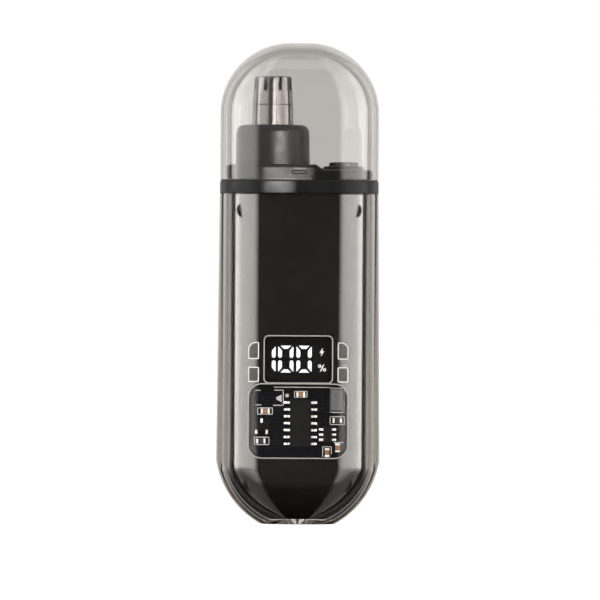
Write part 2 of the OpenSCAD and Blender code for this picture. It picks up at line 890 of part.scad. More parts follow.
module button_bezel() {
    color(black) at_button() rotate_extrude() polygon(concat(
        [[button_r + 0.12, low_deck - 0.8], [bezel_plug_r, low_deck - 0.8],
         [bezel_plug_r, low_deck + eps], [bezel_r, low_deck + eps]],
        shoulder(bezel_r, bezel_top, 0.3),
        [[button_r + 0.12, bezel_top]]
    ));
}

module button_cap() {
    color(black) at_button() rotate_extrude() polygon(concat(
        [[0, plunger_top], [1.2, plunger_top], [1.2, low_deck - 1.4], [3.2, low_deck - 1.4],
         [3.2, low_deck - 0.86], [button_r, low_deck - 0.86]],
        shoulder(button_r, button_top, 0.35),
        [[0, button_top]]
    ));
}

module button_board() {
    color([0.06, 0.2, 0.12]) translate([0, 0, board_z]) linear_extrude(0.8) intersection() {
        translate([button_x - 4, -4.4]) square([body_w, 8.8]);
        hollow_outline(0.2);
    }
}

module switch_body() {
    color([0.1, 0.1, 0.1]) translate([button_x, 0, board_z + 0.8]) difference() {
        translate([-2, -2, 0]) cube([4, 4, 1]);
        rod(1.06, 0.12, 2);
    }
}

module switch_plunger() {
    color([0.85, 0.85, 0.85]) at_button() rod(0.95, plunger_top - 0.9, plunger_top - eps);
}

module button_ribbon() {
    t = 0.15;
    color([0.6, 0.4, 0.15]) translate([display_w / 2 + 0.05, 0, 0]) rotate([90, 0, 90]) linear_extrude(2)
        polygon([[board_front - t, board_top - 0.8], [board_front, board_top - 0.8], [board_front, 57.6],
                 [-4.4, board_z - t], [-3, board_z - t], [-3, board_z], [-4.5, board_z],
                 [board_front - t, 57.7]]);
}

/* ---- dust cap ---- */

module dust_cap() {
    heights_in = dome_heights(cap_wall);
    color(smoke) loft(concat(
        [for (k = [len(heights_in) - 1:-1:0]) dome_ring(heights_in[k], cap_wall)],
        [dome_ring(band_top + 0.02, cap_wall), dome_ring(band_top + 0.02, 0)],
        [for (z = dome_heights(0)) dome_ring(z, 0)]
    ));
}

outer_shell();
front_cover();
rear_cover();
display_lens();
circuit_lens();
trim_band();
deck();
deck_gasket();
button_bezel();
shaft_seal();
main_board();
control_ic();
ic_leads();
charge_ic();
charge_ic_leads();
power_transistor();
transistor_leads();
chip_capacitors();
chip_terminals();
chip_resistors();
power_inductor();
display_module();
display_segments();
usb_shell();
usb_tongue();
battery_cell();
battery_tabs();
battery_lead_red();
battery_lead_black();
motor_can();
motor_magnets();
motor_end_cap();
motor_terminals();
motor_damper();
motor_plate();
motor_screws();
motor_lead_red();
motor_lead_black();
case_screws();
button_board();
switch_body();
button_ribbon();
motor_shaft();
motor_armature();
armature_windings();
drive_coupling();
blade_spring();
blade_carrier();
inner_blade();
head_seal();
head_collar();
lower_sleeve();
comb_tube();
button_cap();
switch_plunger();
dust_cap();
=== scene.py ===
import json
import math

import bmesh
import bpy
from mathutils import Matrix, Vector


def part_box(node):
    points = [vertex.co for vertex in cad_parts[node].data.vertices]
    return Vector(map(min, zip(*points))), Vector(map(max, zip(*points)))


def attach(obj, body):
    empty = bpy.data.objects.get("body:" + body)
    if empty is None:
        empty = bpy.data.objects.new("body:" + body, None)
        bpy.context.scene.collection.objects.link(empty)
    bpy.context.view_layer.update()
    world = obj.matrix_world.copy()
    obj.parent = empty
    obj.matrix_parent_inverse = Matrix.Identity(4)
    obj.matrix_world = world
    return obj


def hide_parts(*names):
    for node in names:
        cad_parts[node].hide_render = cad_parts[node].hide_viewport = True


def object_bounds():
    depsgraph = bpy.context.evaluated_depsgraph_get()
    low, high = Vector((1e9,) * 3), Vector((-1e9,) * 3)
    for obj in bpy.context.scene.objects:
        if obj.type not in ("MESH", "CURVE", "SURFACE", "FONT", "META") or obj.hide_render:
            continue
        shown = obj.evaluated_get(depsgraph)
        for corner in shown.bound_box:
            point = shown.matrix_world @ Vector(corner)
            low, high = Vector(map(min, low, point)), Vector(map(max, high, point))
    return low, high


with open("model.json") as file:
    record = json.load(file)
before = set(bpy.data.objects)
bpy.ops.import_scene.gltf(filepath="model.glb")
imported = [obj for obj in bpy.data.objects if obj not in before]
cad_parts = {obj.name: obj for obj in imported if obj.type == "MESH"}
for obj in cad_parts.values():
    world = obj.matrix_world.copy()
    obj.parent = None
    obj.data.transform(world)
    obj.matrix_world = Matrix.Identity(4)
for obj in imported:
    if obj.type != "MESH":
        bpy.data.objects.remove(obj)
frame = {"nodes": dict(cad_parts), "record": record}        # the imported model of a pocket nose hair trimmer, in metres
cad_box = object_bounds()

# Lengths below are in millimetres, in the frame's axes: +Z up, front towards -Y.
MM = 0.001
NODES = frame["nodes"]
SLOT_OF = {s["node"]: s["material_slot"] for s in frame["record"]["subparts"]}
scene = bpy.context.scene


def box_mm(node):
    low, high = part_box(node)
    return low / MM, high / MM


# ---------------------------------------------------------------- camera

CAMERA_FAR = 1200      # from the object's middle plane
LENS = 388.3
SENSOR = 36
NEAREST = 10
EYE_Z = 41.4
EYE_X = 0.24
ROLL = 0.34            # in degrees


def make_camera():
    """A long lens far in front of the object, level with it."""
    data = bpy.data.cameras.new("camera")
    data.lens = LENS
    data.sensor_width = SENSOR
    data.clip_start = NEAREST * MM
    camera = bpy.data.objects.new("camera", data)
    scene.collection.objects.link(camera)
    camera.location = (EYE_X * MM, -CAMERA_FAR * MM, EYE_Z * MM)
    camera.rotation_euler = (math.pi / 2, math.radians(-ROLL), 0)
    scene.camera = camera


make_camera()


# ---------------------------------------------------------------- sizes from the frame

shell_high = box_mm("outer_shell")[1]
cap_low, cap_high = box_mm("dust_cap")
case_low, case_high = box_mm("front_cover")
band_low, band_high = box_mm("trim_band")
deck_low, deck_high = box_mm("deck")
display_low, display_high = box_mm("display_lens")
circuit_low, circuit_high = box_mm("circuit_lens")
board_front = box_mm("main_board")[0].y
collar_low, collar_high = box_mm("head_collar")
bezel_low, bezel_high = box_mm("button_bezel")

BODY_HW = shell_high.x
BODY_HD = shell_high.y
NECK_HW = cap_high.x
CASE_HW = case_high.x
CASE_HD = -case_low.y
HEAD_X = (collar_low.x + collar_high.x) / 2
BUTTON_X = (bezel_low.x + bezel_high.x) / 2

# The outlines' own numbers, as in the CAD source
EDGE_FLAT = 0.9
BASE_ARC_R = 16.25
BASE_ARC_Z = 14.2
BASE_ARC_IN = 0.9
TAPER_Z = 12
FRONT_ARC_R = 11
FRONT_ARC_Z = 8
SHELL_FLOOR = 1
CASE_INSET = 1.45
CASE_WALL = 1.2
CASE_GAP = 0.12
CAP_WALL = 0.95
CAP_GAP = 0.1
DOME_R = 13
EDGE_R = BODY_HD - EDGE_FLAT
DOME_Z = cap_high.z - DOME_R
FRONT_DOME_Z = cap_high.z - EDGE_R
RIM_ROUND = 0.16
PORT_GAP_SHELL = 0.6
PORT_GAP_CASE = 0.12
CORNER_STEPS = 22
BASE_STEPS = 30
DOME_STEPS = 40
CASE_FLAT = CASE_HW - (CASE_HD - EDGE_FLAT)   # half width of the case's flat front


# ---------------------------------------------------------------- mesh tools

def link(name, mesh):
    piece = bpy.data.objects.new(name, mesh)
    scene.collection.objects.link(piece)
    return piece


def shade(mesh, angle=35):
    for polygon in mesh.polygons:
        polygon.use_smooth = True
    mesh.set_sharp_from_angle(angle=math.radians(angle))


def piece_from(name, points, faces):
    """A mesh piece from points in millimetres, with its faces turned outwards."""
    mesh = bpy.data.meshes.new(name)
    bm = bmesh.new()
    verts = [bm.verts.new([c * MM for c in p]) for p in points]
    for face in faces:
        bm.faces.new([verts[i] for i in face])
    bmesh.ops.remove_doubles(bm, verts=bm.verts, dist=1e-7)
    bmesh.ops.recalc_face_normals(bm, faces=bm.faces)
    bm.to_mesh(mesh)
    bm.free()
    shade(mesh)
    return link(name, mesh)


def loft(name, rings, capped=True):
    """A closed skin through rings of points, with a face across its first and last ring."""
    n = len(rings[0])
    faces = [
        (k * n + i, (k + 1) * n + i, (k + 1) * n + (i + 1) % n, k * n + (i + 1) % n)
        for k in range(len(rings) - 1)
        for i in range(n)
    ]
    if capped:
        faces.append(tuple(range(n)))
        faces.append(tuple(reversed(range((len(rings) - 1) * n, len(rings) * n))))
    return piece_from(name, [p for r in rings for p in r], faces)


def ring(hw, hd, r, z):
    """A rounded rectangle at height z."""
    points = []
    for quarter, (sx, sy) in enumerate(((1, 1), (-1, 1), (-1, -1), (1, -1))):
        for i in range(CORNER_STEPS + 1):
            a = math.radians(90 * quarter + 90 * i / CORNER_STEPS)
            points.append((sx * (hw - r) + r * math.cos(a), sy * (hd - r) + r * math.sin(a), z))
    return points


def prism(name, outline, low, high, axis="z"):
    """A prism on an outline: of x and y between two heights, or of x and z between two depths."""
    if axis == "z":
        rings = [[(x, y, z) for x, y in outline] for z in (low, high)]
    else:
        rings = [[(x, y, z) for x, z in outline] for y in (low, high)]
    return loft(name, rings)


def rounded_rect(w, h, r, cx=0.0, cz=0.0, steps=10):
    """Points of a rounded rectangle in a plane. r is one radius, or four from the top right round."""
    radii = [r] * 4 if isinstance(r, (int, float)) else r
    points = []
    for quarter, (sx, sz) in enumerate(((1, 1), (-1, 1), (-1, -1), (1, -1))):
        corner = radii[quarter]
        for i in range(steps + 1):
            a = math.radians(90 * quarter + 90 * i / steps)
            points.append((
                cx + sx * (w / 2 - corner) + corner * math.cos(a),
                cz + sz * (h / 2 - corner) + corner * math.sin(a),
            ))
    return points


def circle(r, cx=0.0, cy=0.0, steps=64):
    return [
        (cx + r * math.cos(2 * math.pi * i / steps), cy + r * math.sin(2 * math.pi * i / steps))
        for i in range(steps)
    ]


def carve(piece, tool, operation="DIFFERENCE"):
    """Applies a boolean with another piece, which is used up."""
    boolean = piece.modifiers.new("carve", "BOOLEAN")
    boolean.operation = operation
    boolean.solver = "EXACT"
    boolean.object = tool
    graph = bpy.context.evaluated_depsgraph_get()
    mesh = bpy.data.meshes.new_from_object(piece.evaluated_get(graph))
    piece.modifiers.clear()
    piece.data = mesh
    bpy.data.objects.remove(tool)
    shade(mesh)


def stand_for(piece, node, body):
    """The piece takes a CAD node's place on its body, with the node's slot and material."""
    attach(piece, body)
    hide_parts(node)
    piece.data.materials.clear()
    piece.data.materials.append(MATERIALS[SLOT_OF[node]])
    return piece


# ---------------------------------------------------------------- the body's outlines

def base_hw(z, hw, inset):
    """Half the width at a height, where the sides curve in to the flat base."""
    if z >= BASE_ARC_Z:
        return hw
    return min(hw, math.sqrt((BASE_ARC_R - inset) ** 2 - (BASE_ARC_Z - z) ** 2) - BASE_ARC_IN)


def base_hd(z, hd, inset):
    """Half the depth at a height, where the front and back curve in to the flat base."""
    if z >= FRONT_ARC_Z:
        return hd
    r = FRONT_ARC_R - inset
    return hd - r + math.sqrt(r * r - (FRONT_ARC_Z - z) ** 2)


def body_ring(z, hw, hd, inset):
    d = base_hd(z, hd, inset)
    return ring(base_hw(z, hw, inset), d, d - EDGE_FLAT, z)


def base_heights(low):
    """Heights of the rings up to the taper, closer together near the bottom."""
    turns = [math.pi / 2 * k / (BASE_STEPS - 1) for k in range(BASE_STEPS)]
    return [low + (TAPER_Z - low) * (1 - math.cos(a)) for a in turns]


def straight_heights(low, high):
    """Extra rings on a straight wall, close to its ends, that keep its shading flat."""
    return [low + 0.3, low + 1.2, (low + high) / 2, high - 1.2, high - 0.3]


def shell_hw(z, top):
    """The shell is widest low down and tapers to just over the neck's width at its rim."""
    share = max(0.0, min(1.0, (z - TAPER_Z) / (top - TAPER_Z)))
    return BODY_HW * (1 - share) + (NECK_HW + 0.04) * share


def dome_ring(z, inset):
    """The cap's outline at a height, an inset inside its outer skin."""
    hw = NECK_HW - inset
    if z > DOME_Z:
        hw = NECK_HW - DOME_R + math.sqrt(max(0.0, (DOME_R - inset) ** 2 - (z - DOME_Z) ** 2))
    r = EDGE_R - inset
    if z > FRONT_DOME_Z:
        r = max(0.02, math.sqrt(max(0.0, r * r - (z - FRONT_DOME_Z) ** 2)))
    return ring(hw, EDGE_FLAT + r, r, z)


def dome_heights(inset):
    """Heights of the cap's rings over its straight wall, closer together near the top."""
    turns = [math.pi / 2 * k / DOME_STEPS for k in range(DOME_STEPS + 1)]
    return [DOME_Z + (DOME_R - inset) * math.sin(a) for a in turns]


def case_form(name, inset, top):
    """The case's solid form up to a height, an inset inside its skin."""
    t = CASE_INSET + inset
    heights = base_heights(case_low.z + inset) + [top]
    return loft(name, [body_ring(z, CASE_HW - inset, CASE_HD - inset, t) for z in heights])


def case_surface(p):
    """How far a point is outside the case's skin."""
    hd = base_hd(p.z, CASE_HD, CASE_INSET)
    r = hd - EDGE_FLAT
    flat = base_hw(p.z, CASE_HW, CASE_INSET) - r
    return math.hypot(max(abs(p.x) - flat, 0), max(abs(p.y) - EDGE_FLAT, 0)) - r


def smooth_case(piece):
    """Gives the case's skin the normals of its true curve, right up to the edges of its windows."""
    mesh = piece.data
    step = 0.01
    normals = [tuple(n.vector) for n in mesh.corner_normals]
    for polygon in mesh.polygons:
        for loop in polygon.loop_indices:
            p = mesh.vertices[mesh.loops[loop].vertex_index].co / MM
            if abs(case_surface(p)) > 0.02 or p.z < case_low.z + 0.1:
                continue
            slope = Vector([
                case_surface(p + axis) - case_surface(p - axis)
                for axis in (Vector((step, 0, 0)), Vector((0, step, 0)), Vector((0, 0, step)))
            ])
            if p.z > case_high.z - 0.1:
                slope.z = 0
            normal = slope.normalized()
            if normal.dot(polygon.normal) > 0.8:
                normals[loop] = tuple(normal)
    mesh.normals_split_custom_set(normals)


def case_front_y(x):
    """Where the case's front surface lies at x."""
    over = abs(x) - CASE_FLAT
    if over <= 0:
        return -CASE_HD
    r = CASE_HD - EDGE_FLAT
    return -(EDGE_FLAT + math.sqrt(r * r - over * over))


# ---------------------------------------------------------------- materials

class Finish:
    """A material with a Principled shader, built up by the small steps below."""

    def __init__(self, name, colour, roughness, **sockets):
        self.material = bpy.data.materials.new(name)
        self.material.use_nodes = True
        self.tree = self.material.node_tree
        self.shader = self.tree.nodes["Principled BSDF"]
        self.output = self.tree.nodes["Material Output"]
        self.set("Base Color", (*colour, 1))
        self.set("Roughness", roughness)
        for socket, value in sockets.items():
            self.set(socket.replace("_", " "), value)
        self.place = self.node("ShaderNodeTexCoord").outputs["Object"]

    def node(self, kind, **settings):
        made = self.tree.nodes.new(kind)
        for key, value in settings.items():
            setattr(made, key, value)
        return made

    def set(self, socket, value):
        self.shader.inputs[socket].default_value = value

    def wire(self, source, target):
        self.tree.links.new(source, target)

    def noise(self, size, stretch=(1, 1, 1), detail=3):
        """Noise with features of about that size in millimetres, stretched along axes."""
        mapping = self.node("ShaderNodeMapping")
        mapping.inputs["Scale"].default_value = [1 / (size * MM * s) for s in stretch]
        self.wire(self.place, mapping.inputs["Vector"])
        noise = self.node("ShaderNodeTexNoise")
        noise.inputs["Scale"].default_value = 1
        noise.inputs["Detail"].default_value = detail
        self.wire(mapping.outputs["Vector"], noise.inputs["Vector"])
        return noise.outputs["Fac"]

    def spread(self, source, low, high, edge=(0.3, 0.7)):
        """A texture's middle range turned into low to high."""
        spread = self.node("ShaderNodeMapRange")
        for socket, value in zip(("From Min", "From Max", "To Min", "To Max"), (*edge, low, high)):
            spread.inputs[socket].default_value = value
        self.wire(source, spread.inputs["Value"])
        return spread.outputs["Result"]

    def rough(self, source, low, high):
        self.wire(self.spread(source, low, high), self.shader.inputs["Roughness"])

    def bump(self, source, depth):
        """Height from a texture, with its depth in millimetres."""
        bump = self.node("ShaderNodeBump")
        bump.inputs["Distance"].default_value = depth * MM
        bump.inputs["Strength"].default_value = 1
        self.wire(source, bump.inputs["Height"])
        self.wire(bump.outputs["Normal"], self.shader.inputs["Normal"])

    def tint(self, source, low, high, edge=(0.3, 0.7)):
        """The base colour runs from low to high with a texture."""
        mix = self.node("ShaderNodeMix", data_type="RGBA")
        self.wire(self.spread(source, 0, 1, edge), mix.inputs["Factor"])
        mix.inputs["A"].default_value = (*low, 1)
        mix.inputs["B"].default_value = (*high, 1)
        self.wire(mix.outputs["Result"], self.shader.inputs["Base Color"])


def moulded(name, colour, rough, grain=0.7, depth=0.0015, variation=0.25, **sockets):
    """Moulded plastic: fine grain, and a slow change of gloss and tone across it."""
    finish = Finish(name, colour, rough, **sockets)
    lighter = [c * (1 + variation) + 0.002 for c in colour]
    finish.tint(finish.noise(6, detail=2), colour, lighter)
    finish.rough(finish.noise(2.5, detail=4), rough * 0.8, rough * 1.25)
    finish.bump(finish.noise(grain, detail=0), depth)
    return finish.material


def clear(name, tint, density, ior=1.57, rough=0.012, coat=0.0):
    """Clear moulded plastic: it bends light, darkens it along its path, and lets lamps through.

    The tint and the density, in parts per metre, say how fast it darkens.
    """
    finish = Finish(name, (1, 1, 1), rough, Transmission_Weight=1, IOR=ior, Coat_Weight=coat)
    finish.rough(finish.noise(9, detail=4), rough * 0.4, rough * 1.8)
    absorb = finish.node("ShaderNodeVolumeAbsorption")
    absorb.inputs["Color"].default_value = (*tint, 1)
    absorb.inputs["Density"].default_value = density
    finish.wire(absorb.outputs["Volume"], finish.output.inputs["Volume"])
    path = finish.node("ShaderNodeLightPath")
    passing = finish.node("ShaderNodeBsdfTransparent")
    mix = finish.node("ShaderNodeMixShader")
    finish.wire(path.outputs["Is Shadow Ray"], mix.inputs[0])
    finish.wire(finish.shader.outputs["BSDF"], mix.inputs[1])
    finish.wire(passing.outputs["BSDF"], mix.inputs[2])
    finish.wire(mix.outputs["Shader"], finish.output.inputs["Surface"])
    return finish.material


def metal(name, colour, rough, lines=(1, 1, 1), marks=0.3, depth=0.0004):
    """Metal with fine tool marks, stretched along the axes that lines gives."""
    finish = Finish(name, colour, rough, Metallic=1)
    grain = finish.noise(0.12, lines, detail=1)
    finish.tint(finish.noise(5), colour, [min(1, c * (1 + marks / 3)) for c in colour])
    finish.rough(grain, rough * (1 - marks), rough * (1 + marks))
    finish.bump(grain, depth)
    return finish.material


def rubber(name, colour):
    """Matt rubber or soft insulation."""
    finish = Finish(name, colour, 0.6)
    finish.tint(finish.noise(1.5), colour, [c * 1.4 + 0.004 for c in colour])
    finish.bump(finish.noise(0.12), 0.004)
    return finish.material


def circuit_board(name, colour, track):
    """Solder mask with a maze of fine tracks under it."""
    finish = Finish(name, colour, 0.32, Coat_Weight=0.4, Coat_Roughness=0.15)
    cells = finish.node("ShaderNodeTexBrick")
    cells.inputs["Scale"].default_value = 1 / (1.6 * MM)
    cells.inputs["Mortar Size"].default_value = 0.05
    cells.inputs["Mortar Smooth"].default_value = 0.1
    cells.inputs["Brick Width"].default_value = 1.7
    cells.inputs["Row Height"].default_value = 0.42
    turn = finish.node("ShaderNodeMapping")
    turn.inputs["Rotation"].default_value = (math.pi / 2, 0, 0)
    finish.wire(finish.place, turn.inputs["Vector"])
    finish.wire(turn.outputs["Vector"], cells.inputs["Vector"])
    finish.tint(cells.outputs["Fac"], colour, track, edge=(0, 1))
    finish.bump(cells.outputs["Fac"], 0.02)
    return finish.material


def ceramic(name, colour):
    """A fired or pressed part with fine specks."""
    finish = Finish(name, colour, 0.4)
    finish.tint(finish.noise(0.15), colour, [min(1, c * 1.35) for c in colour])
    finish.bump(finish.noise(0.08), 0.003)
    return finish.material


def glowing(name, colour, strength):
    """A lit part of the display."""
    finish = Finish(name, colour, 0.4)
    finish.set("Emission Color", (*colour, 1))
    finish.set("Emission Strength", strength)
    finish.tint(finish.noise(0.5), [c * 0.92 for c in colour], colour)
    return finish.material


def windings(name, colour):
    """Lacquered wire, wound in close turns, with painted shade in the hollows between the turns."""
    finish = Finish(name, colour, 0.3, Metallic=0.7, Coat_Weight=0.5)
    turns = finish.node("ShaderNodeTexWave", bands_direction="Z")
    turns.inputs["Scale"].default_value = 1 / (0.9 * MM)
    finish.wire(finish.place, turns.inputs["Vector"])
    # Painted shade: the colour drops to under half where the turns are lowest, in the hollows between
    # them
    finish.tint(turns.outputs["Fac"], [c * 0.45 for c in colour], colour, edge=(0.1, 0.9))
    finish.bump(turns.outputs["Fac"], 0.05)
    return finish.material


# How far a metal's marks are stretched along each axis
ALONG = (1, 1, 40)
TURNED = (40, 40, 1)

MATERIALS = {
    "smoke_shell": clear("smoke_shell", (0.62, 0.585, 0.545), 440, ior=1.15),
    "smoke_cap": clear("smoke_cap", (0.66, 0.635, 0.605), 900, ior=1.36, coat=0.6),
    "case_black": moulded(
        "case_black", (0.009, 0.0085, 0.0085), 0.06, grain=4, depth=0.0012, IOR=2.8),
    "display_tint": clear("display_tint", (0.35, 0.35, 0.37), 300, ior=1.5),
    "window_clear": clear("window_clear", (0.6, 0.6, 0.62), 350, ior=1.5),
    "trim_black": moulded(
        "trim_black", (0.01, 0.01, 0.0105), 0.36, depth=0.0008, variation=0.1,
        Specular_IOR_Level=0.15),
    "deck_black": moulded(
        "deck_black", (0.012, 0.0115, 0.012), 0.36, variation=0.1, Specular_IOR_Level=0.25),
    "collar_black": moulded(
        "collar_black", (0.008, 0.008, 0.0085), 0.4, grain=0.8, variation=0.1, Specular_IOR_Level=0.3),
    "button_black": moulded("button_black", (0.014, 0.014, 0.015), 0.25),
    "polished_steel": metal(
        "polished_steel", (0.27, 0.255, 0.25), 0.2, TURNED, marks=0.08, depth=0.00001),
    "blade_steel": metal("blade_steel", (0.55, 0.55, 0.56), 0.22, ALONG),
    "plain_steel": metal("plain_steel", (0.6, 0.6, 0.61), 0.28, ALONG),
    "black_rubber": rubber("black_rubber", (0.02, 0.02, 0.02)),
    "board_black": circuit_board("board_black", (0.007, 0.009, 0.014), (0.016, 0.02, 0.03)),
    "board_green": circuit_board("board_green", (0.01, 0.07, 0.035), (0.03, 0.16, 0.08)),
    "chip_black": moulded("chip_black", (0.02, 0.02, 0.022), 0.5, grain=0.4, depth=0.002),
    "tinned_lead": metal("tinned_lead", (0.8, 0.8, 0.77), 0.42),
    "capacitor_brown": ceramic("capacitor_brown", (0.36, 0.17, 0.06)),
    "inductor_grey": ceramic("inductor_grey", (0.12, 0.12, 0.13)),
    "display_black": moulded("display_black", (0.003, 0.003, 0.003), 0.5),
    "display_white": glowing("display_white", (0.95, 0.97, 1.0), 1.6),
    "port_steel": metal("port_steel", (0.55, 0.55, 0.56), 0.25, ALONG),
    "port_black": moulded("port_black", (0.02, 0.02, 0.02), 0.5),
    "cell_blue": moulded("cell_blue", (0.05, 0.17, 0.42), 0.25, Coat_Weight=0.5),
    "wire_red": rubber("wire_red", (0.5, 0.02, 0.02)),
    "wire_black": rubber("wire_black", (0.02, 0.02, 0.02)),
    "magnet_grey": ceramic("magnet_grey", (0.1, 0.1, 0.11)),
    "nylon_white": moulded("nylon_white", (0.4, 0.39, 0.355), 0.4, variation=0.08),
    "brass": metal("brass", (0.72, 0.52, 0.22), 0.25),
    "core_steel": metal("core_steel", (0.3, 0.3, 0.31), 0.4, TURNED, depth=0.004),
    "copper_wire": windings("copper_wire", (0.75, 0.33, 0.14)),
    "ribbon_amber": moulded("ribbon_amber", (0.45, 0.24, 0.05), 0.3),
}
PRINT_GREY = moulded("print_grey", (0.3, 0.3, 0.295), 0.45, variation=0.15)
PRINT_WHITE = moulded("print_white", (0.72, 0.72, 0.71), 0.45, variation=0.1)
MARK_FILL = moulded("mark_fill", (0.13, 0.128, 0.126), 0.6, grain=0.3, depth=0.002)
# Painted shade: near-black, for the strip on the floor of the deck's oval grooves
GROOVE_SHADE_PAINT = moulded("painted_shade_dark", (0.004, 0.004, 0.004), 0.7)


def paint(piece, material):
    """Sets the piece's one material."""
    if piece.material_slots:
        piece.material_slots[0].material = material
    else:
        piece.data.materials.append(material)
    return piece


# ---------------------------------------------------------------- clear mouldings

def rim(inset, z, up):
    """Insets and heights of a small round on an edge at height z; up is 1 on a top edge."""
    steps = [math.radians(a) for a in (0, 30, 60, 90)]
    return [
        (inset + RIM_ROUND * (1 - math.cos(a)), z - up * RIM_ROUND * (1 - math.sin(a)))
        for a in steps
    ]


def make_dust_cap():
    """The cap as one closed wall, from its inner skin round its rim to its outer skin."""
    foot = cap_low.z
    inside = [dome_ring(z, CAP_WALL) for z in reversed(dome_heights(CAP_WALL))]
    inner_rim = [dome_ring(z, 2 * CAP_WALL - t) for t, z in rim(CAP_WALL, foot, -1)]
    outer_rim = [dome_ring(z, t) for t, z in reversed(rim(0, foot, -1))]
    wall = straight_heights(foot + RIM_ROUND, DOME_Z)
    inner_wall = [dome_ring(z, CAP_WALL) for z in reversed(wall)]
    outer_wall = [dome_ring(z, 0) for z in wall]
    outside = [dome_ring(z, 0) for z in dome_heights(0)]
    skin = inside + inner_wall + inner_rim + outer_rim + outer_wall + outside
    cap = loft("clear_dust_cap", skin)
    return stand_for(cap, "dust_cap", "cap")


def port_tool(gap, low, high):
    """A round-sided prism for the opening that the charging port's shell stands in."""
    port_low, port_high = box_mm("usb_shell")
    w, d = port_high.x - port_low.x + 2 * gap, port_high.y - port_low.y + 2 * gap
    return prism("tool", rounded_rect(w, d, w / 2 - 0.001, steps=24), low, high)


def make_outer_shell():
    """The shell as one closed wall with a flat floor, open at the top, and the port's hole."""
    top = shell_high.z
    wall = straight_heights(BASE_ARC_Z, top - RIM_ROUND)
    heights = base_heights(0) + wall
    outside = [body_ring(z, shell_hw(z, top), BODY_HD, 0) for z in heights]
    outer_rim = [body_ring(z, shell_hw(z, top) - t, BODY_HD - t, 0) for t, z in rim(0, top, 1)]
    gap_hw, gap_hd = CASE_HW + CASE_GAP, CASE_HD + CASE_GAP
    inner_rim = [body_ring(z, gap_hw + t, gap_hd + t, 0) for t, z in reversed(rim(0, top, 1))]
    inside = [
        body_ring(z, gap_hw, gap_hd, CASE_INSET - CASE_GAP)
        for z in reversed(base_heights(SHELL_FLOOR) + wall)
    ]
    shell = loft("clear_outer_shell", outside + outer_rim + inner_rim + inside)
    carve(shell, port_tool(PORT_GAP_SHELL, -1, SHELL_FLOOR + 1))
    return stand_for(shell, "outer_shell", "handle")


# ---------------------------------------------------------------- the black case

SCREWS = ((-8.4, 7.6), (8.4, 7.6), (-9.9, 57.9), (9.9, 57.9))
SCREW_HEAD_Y = 5
SCREW_TIP_Y = -5
SCREW_HEAD_R = 1.35
SCREW_CLEAR_R = 0.8    # in the rear half
SCREW_GRIP_R = 0.55    # in the front half
BOSS_R = 1.5
BOSS_Y = 0.02          # from the split between the halves
SCREW_STEPS = 32
OUTSIDE = 12           # a depth past the body's front and back
DISPLAY_R = 0.75
DISPLAY_Y = -5         # how far back the display's opening is cut
CIRCUIT_R = 2.4
CIRCUIT_Y = -3
LENS_T = 0.95


def window_tool(low, high, r, inner, grow=0.05):
    """A prism over a window's box, a little larger, from in front of the case to an inner depth."""
    w, h = high.x - low.x + 2 * grow, high.z - low.z + 2 * grow
    centre = (low + high) / 2
    return prism("tool", rounded_rect(w, h, r + grow, centre.x, centre.z), -OUTSIDE, inner, "y")


def screw_tool(x, z, r, low, high):
    """A rod along y at a screw."""
    return prism("tool", circle(r, x, z, SCREW_STEPS), low, high, "y")


def make_case_half(name, node, front):
    """Half of the black case, split down its middle: a shell with its screw bosses."""
    half = case_form(name, 0, case_high.z)
    carve(half, case_form("tool", CASE_WALL, case_high.z + 1))
    side = -1 if front else 1
    low, high = sorted((side * BOSS_Y, side * (CASE_HD - CASE_WALL - 0.1)))
    for x, z in SCREWS:
        carve(half, screw_tool(x, z, BOSS_R, low, high), "UNION")
    reach = 2 * BODY_HW
    edge = rounded_rect(reach * 2, reach * 6, 0.01, steps=1)
    low, high = sorted((0.0, side * reach))
    carve(half, prism("tool", edge, low, high, "y"), "INTERSECT")
    for x, z in SCREWS:
        if front:
            carve(half, screw_tool(x, z, SCREW_GRIP_R, SCREW_TIP_Y, 1))
        else:
            carve(half, screw_tool(x, z, SCREW_CLEAR_R, -1, OUTSIDE))
            carve(half, screw_tool(x, z, SCREW_HEAD_R, SCREW_HEAD_Y, OUTSIDE))
    carve(half, port_tool(PORT_GAP_CASE, -1, 3))
    if front:
        carve(half, window_tool(display_low, display_high, DISPLAY_R, DISPLAY_Y))
        carve(half, window_tool(circuit_low, circuit_high, CIRCUIT_R, CIRCUIT_Y))
    smooth_case(half)
    return stand_for(half, node, "handle")


def make_circuit_window():
    """A pane with the case's own curve, which fills the circuit window."""
    lens = case_form("circuit_window", 0, case_high.z)
    carve(lens, case_form("tool", LENS_T, case_high.z + 1))
    carve(lens, window_tool(circuit_low, circuit_high, CIRCUIT_R, CIRCUIT_Y, grow=0), "INTERSECT")
    smooth_case(lens)
    return stand_for(lens, "circuit_lens", "handle")


# ---------------------------------------------------------------- band and deck

DECK_INSET = CAP_WALL + CAP_GAP
DECK_ROUND = 0.75
BAND_ROUND = 0.3
BAND_CHAMFER = 0.05
STEP_X = 4.5
STEP_RUN = 1.6
BUTTON_DROP = 0.8      # from the deck's low part to the bezel's foot
SOCKET_R = 5.4
SOCKET_BOSS_R = 7.3
SOCKET_DROP = 0.9      # from the band's top to the socket's floor
SHAFT_HOLE_R = 3.05
BUTTON_HOLE_R = 3.4
PLUG_GAP = 0.1
PLUG_WALL = 1.3
DECK_STRETCH = 3       # a longer straight stretch is divided
DECK_FINE = 40         # into so many parts
DECK_RINGS = (1.6, 3, 4.5, 6)
BAND_LAP = 0.05        # how far the band and the collar under it reach in past the shell's gap
COLLAR_LAP = 0.1
CAP_MARK = (3, 0.7)
CAP_MARK_Z = 1.45      # over the band
MARK_DEPTH = 0.12
MARK_GROOVE = 0.18


